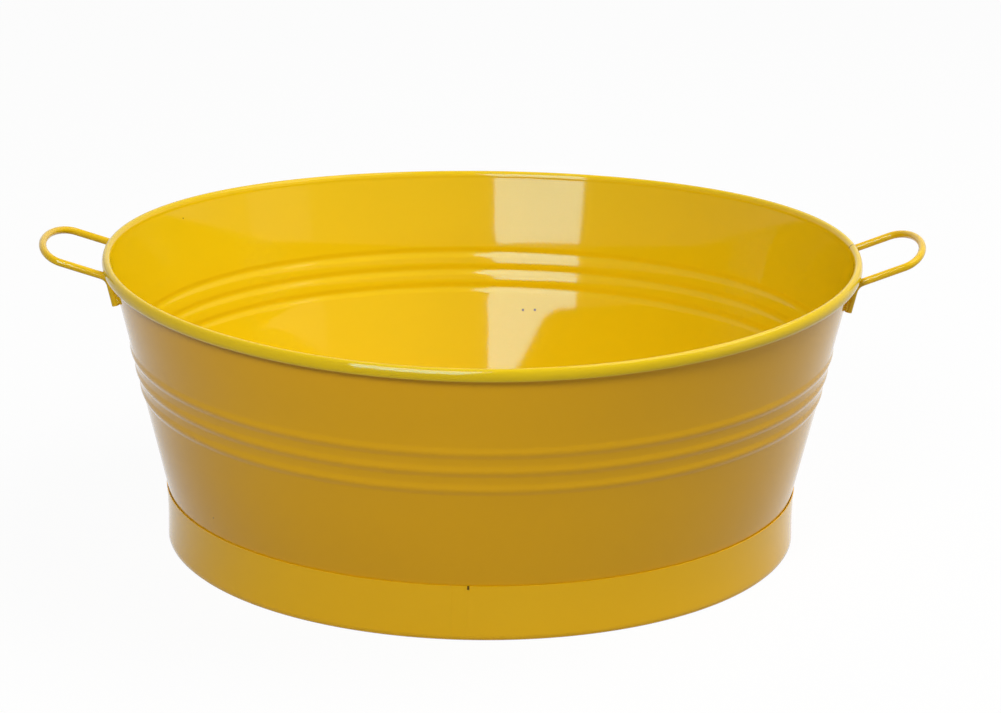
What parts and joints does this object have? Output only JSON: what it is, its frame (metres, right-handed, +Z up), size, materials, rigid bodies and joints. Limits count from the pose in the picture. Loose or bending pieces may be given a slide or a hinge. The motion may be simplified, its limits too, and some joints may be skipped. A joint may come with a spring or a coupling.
{
  "type": "champagne bucket",
  "caption": "Wide round party bucket of painted sheet steel with a rolled rim, swaged ribs, a foot ring and welded wire handles, for ice and bottles",
  "frame": {"origin": "centre of the foot ring's lower edge, on the table", "axes": "+Z up along the bucket's axis, +X towards the right handle, +Y to the back"},
  "size_m": [0.5868, 0.5022, 0.203],
  "materials": {
    "yellow_gloss_paint": "gloss"
  },
  "bodies": {
    "root": {"tub_wall": "yellow_gloss_paint", "tub_floor": "yellow_gloss_paint", "foot_ring": "yellow_gloss_paint", "left_handle": "yellow_gloss_paint", "right_handle": "yellow_gloss_paint"}
  },
  "joints": []
}
